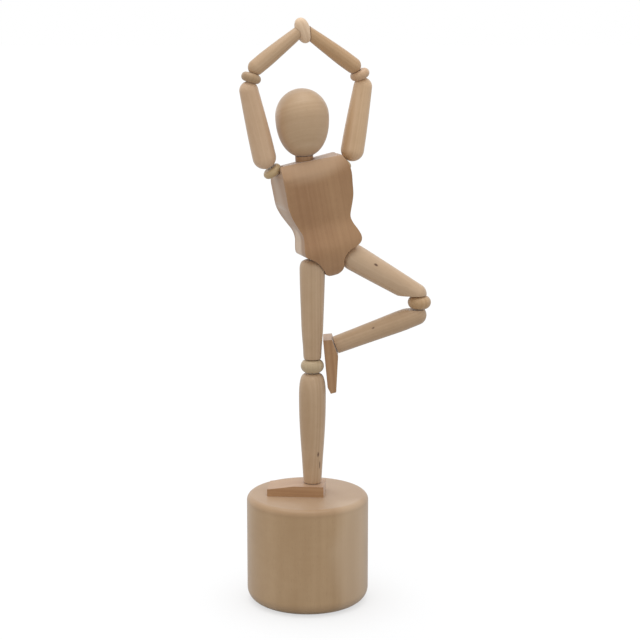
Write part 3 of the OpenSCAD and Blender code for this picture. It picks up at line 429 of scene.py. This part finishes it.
def run(points, strand=(0.0, 0.0, 0.0)):
    """A cord's line through points in mm: a point every STEP, and corners rounded by a running mean of five points."""
    stops = 0.001 * np.array(points, float) + np.array(strand)
    far = np.concatenate([[0], np.linalg.norm(np.diff(stops, axis=0), axis=1).cumsum()])
    steps = np.linspace(0, far[-1], max(int(far[-1] / STEP), 6))
    line = np.stack([np.interp(steps, far, stops[:, axis]) for axis in range(3)], -1)
    padded = np.concatenate([2 * line[:1] - line[2:0:-1], line, 2 * line[-1:] - line[-2:-4:-1]])
    return sum(padded[i:i + len(line)] for i in range(5)) / 5


def laced(name, lines, nodes):
    """Cords that cross the joint between two bodies, and the solids that they stand for."""
    piece = tube(name, lines, [CORD / 2] * len(lines), CORD_SIDES, braided)
    piece.data.materials.append(cotton)
    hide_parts(*nodes)
    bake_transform(piece)


# The standing leg's middle, x and y in mm.
LEG = (1.85, 0.8)

chamber = tube("chamber_lacing", [run([(0, 0, 8.5), LEG + (30.5,)], s) for s in STRANDS], [CORD / 2] * len(STRANDS),
               CORD_SIDES, braided)
chamber.data.materials.append(cotton)
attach(chamber, "stand")
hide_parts("chamber_cords")
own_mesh(chamber)

# All four cords up the standing leg: from the height low to high, with the joint's bend between start and end, in mm.
for name, bodies, low, start, end, high, nodes in (
        ("ankle_lacing", ("stand", "standing_shin"), 30.5, 44.6, 46.6, 67, ["standing_foot_cords"]),
        ("knee_lacing", ("standing_shin", "standing_thigh"), 67, 88.05, 93.75, 112,
         ["standing_shin_cords", "standing_knee_cords"]),
        ("hip_lacing", ("standing_thigh", "torso"), 112, 130.2, 132.3, 137, ["standing_thigh_cords"])):
    laced(name, [run([LEG + (low,), LEG + (high,)], s) for s in STRANDS], nodes)

# One cord at a time beyond the leg: the points that it runs through, and the start and end of the joint's bend, in mm.
for name, bodies, points, start, end, nodes in (
        ("head_lacing", ("torso", "head"),
         [(0.96, 0.19, 137), (-1.43, -0.68, 167.8), (-1.49, -0.7, 169), (-1.55, -0.72, 170.2), (-2.19, -0.96, 183)],
         (-0.98, -0.23, 167.78), (-1.1, -0.27, 170.23), ["torso_cords", "neck_cord", "head_cord"]),
        ("right_arm_lacing", ("torso", "right_upper_arm"),
         [(0.96, 1.09, 137), (-0.98, 0.38, 161.96), (-11.1, -3.9, 163.7), (-12.59, -4.46, 164.81),
          (-13.43, -4.76, 165.95), (-16.84, -6, 181.96)],
         (-11.61, -4.1, 163.47), (-13.58, -4.81, 166.15), ["right_shoulder_cord", "right_upper_arm_cord"]),
        ("left_arm_lacing", ("torso", "left_upper_arm"),
         [(1.86, 0.19, 137), (-0.08, -0.52, 161.96), (11.8, 4.4, 165.7), (13.02, 4.86, 166.78),
          (13.89, 5.18, 167.89), (16.74, 6.22, 182.94)],
         (11.99, 4.49, 165.48), (14.05, 5.24, 168.08), ["left_shoulder_cord", "left_upper_arm_cord"]),
        ("right_forearm_lacing", ("right_upper_arm", "right_forearm"),
         [(-16.84, -6, 181.96), (-20.25, -7.24, 197.97), (-19.98, -7.14, 198.82), (-19.71, -7.05, 199.68),
          (-10.57, -3.72, 207.81)],
         (-20.36, -7.29, 197.59), (-19.59, -7, 200.05), ["right_elbow_cord", "right_forearm_cord"]),
        ("left_forearm_lacing", ("left_upper_arm", "left_forearm"),
         [(16.74, 6.22, 182.94), (19.59, 7.26, 197.99), (19.27, 7.14, 198.83), (18.96, 7.03, 199.66),
          (8.77, 3.32, 207.81), (1.95, 0.84, 213.25)],
         (19.73, 7.31, 197.62), (18.82, 6.97, 200.03), ["left_elbow_cord", "left_forearm_cord"]),
        ("raised_hip_lacing", ("torso", "raised_thigh"),
         [(1.86, 1.09, 137), (1.22, 0.86, 145.22), (13.15, 4.15, 134.7), (15.05, 5.15, 133), (29.4, 5.2, 124.1)],
         (12.37, 5.2, 134.23), (13.75, 5.2, 133.41), ["raised_thigh_cord"]),
        ("raised_knee_lacing", ("raised_thigh", "raised_shin"),
         [(29.4, 5.2, 124.1), (41.1, 5.2, 117.2), (41.83, 5.2, 116.3), (41.83, 5.2, 112), (41.2, 5.2, 111.27),
          (26.2, 5.2, 104.7)],
         (41.33, 5.2, 117.05), (41.83, 5.2, 111.55), ["raised_knee_cord", "raised_shin_cord"]),
        ("raised_ankle_lacing", ("raised_shin", "raised_foot"),
         [(26.2, 5.2, 104.7), (10.63, 5.2, 97.9), (10.4, 5.2, 97.81), (8.15, 5.2, 96.96)],
         (11.38, 5.2, 98.19), (9.65, 5.2, 97.53), ["raised_foot_cord"])):
    laced(name, [run(points)], nodes)

# Both arm cords end in the hand bead.
right_end = run([(-10.57, -3.72, 207.81), (-1.93, -0.57, 215.5)])
left_end = run([(1.57, 0.7, 213.55), (-0.9, -0.2, 215.53)])
laced("hand_lacing", [right_end, left_end],
      ["hand_cords"])

# ---------------------------------------------------------------------------------------------------------------------
# Cord knot: the four cords tied together in one flat knot that holds them under the button.
# ---------------------------------------------------------------------------------------------------------------------

KNOT_MIDDLE = (0, 0, 0.0074)
KNOT_SIZE = (0.00068, 0.00068, 0.00045)
KNOT_CORD = 0.0012
loop = np.linspace(0, 2 * np.pi, 160)
trefoil = np.stack([np.sin(loop) + 2 * np.sin(2 * loop), np.cos(loop) - 2 * np.cos(2 * loop), -np.sin(3 * loop)], -1)
knot = tube("knot_of_cords", [KNOT_MIDDLE + trefoil * KNOT_SIZE], [KNOT_CORD / 2], 16, braided)
knot.data.materials.append(cotton)
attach(knot, "button")
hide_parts("cord_knot")

# ---------------------------------------------------------------------------------------------------------------------
# Studio: a white floor that keeps the figure's soft shadow, soft light from all round, and one large soft lamp that
# hangs almost straight above.
# ---------------------------------------------------------------------------------------------------------------------

FLOOR_HALF = 3.0
FLOOR_BOUNCE = (0.45, 0.45, 0.45, 1)
FLOOR_SEEN = (0.345, 0.35, 0.356, 1)
FLOOR_GLOW = 0.612
SOFT_LIGHT = 0.8
LAMP_POWER = 1.3
LAMP_WIDTH = 1.0
LAMP_FROM = (-0.04, 0.05, 1.0)
floor_mesh = bpy.data.meshes.new("floor")
floor_mesh.from_pydata([(-FLOOR_HALF, -FLOOR_HALF, 0), (FLOOR_HALF, -FLOOR_HALF, 0), (FLOOR_HALF, FLOOR_HALF, 0),
                        (-FLOOR_HALF, FLOOR_HALF, 0)], [], [(0, 1, 2, 3)])
floor = bpy.data.objects.new("floor", floor_mesh)
bpy.context.scene.collection.objects.link(floor)
paper = bpy.data.materials.new("floor_paper")
paper.use_nodes = True
paper.node_tree.nodes.clear()
tree = Pattern(paper.node_tree)
seen = tree.add("LightPath", out=0)
matt = tree.add("BsdfDiffuse", {}, {"Color": FLOOR_BOUNCE})
pale_matt = tree.add("BsdfDiffuse", {}, {"Color": FLOOR_SEEN})
glow = tree.add("Emission", {}, {"Color": (1, 1, 1, 1), "Strength": FLOOR_GLOW})
bright = tree.add("AddShader", {}, {0: pale_matt, 1: glow})
tree.add("OutputMaterial", {}, {"Surface": tree.add("MixShader", {}, {0: seen, 1: matt, 2: bright})})
floor_mesh.materials.append(paper)

world = bpy.data.worlds.new("studio")
bpy.context.scene.world = world
world.use_nodes = True
world.node_tree.nodes.clear()
tree = Pattern(world.node_tree)
ray = tree.add("LightPath", out=0)
looks = [Pattern(world.node_tree, ray.socket.node.outputs[name])
         for name in ("Is Camera Ray", "Is Glossy Ray", "Is Transmission Ray")]
white = looks[0].maths("MAXIMUM", looks[1]).maths("MAXIMUM", looks[2])
soft = tree.add("Background", {}, {"Color": (1, 1, 1, 1), "Strength": SOFT_LIGHT})
plain = tree.add("Background", {}, {"Color": (1, 1, 1, 1), "Strength": 1.0})
tree.add("OutputWorld", {}, {"Surface": tree.add("MixShader", {}, {0: white, 1: soft, 2: plain})})

lamp = bpy.data.objects.new("softbox", bpy.data.lights.new("softbox", "SUN"))
bpy.context.scene.collection.objects.link(lamp)
lamp.data.energy = LAMP_POWER
lamp.data.angle = LAMP_WIDTH
lamp.rotation_euler = Vector(LAMP_FROM).to_track_quat("Z", "Y").to_euler()
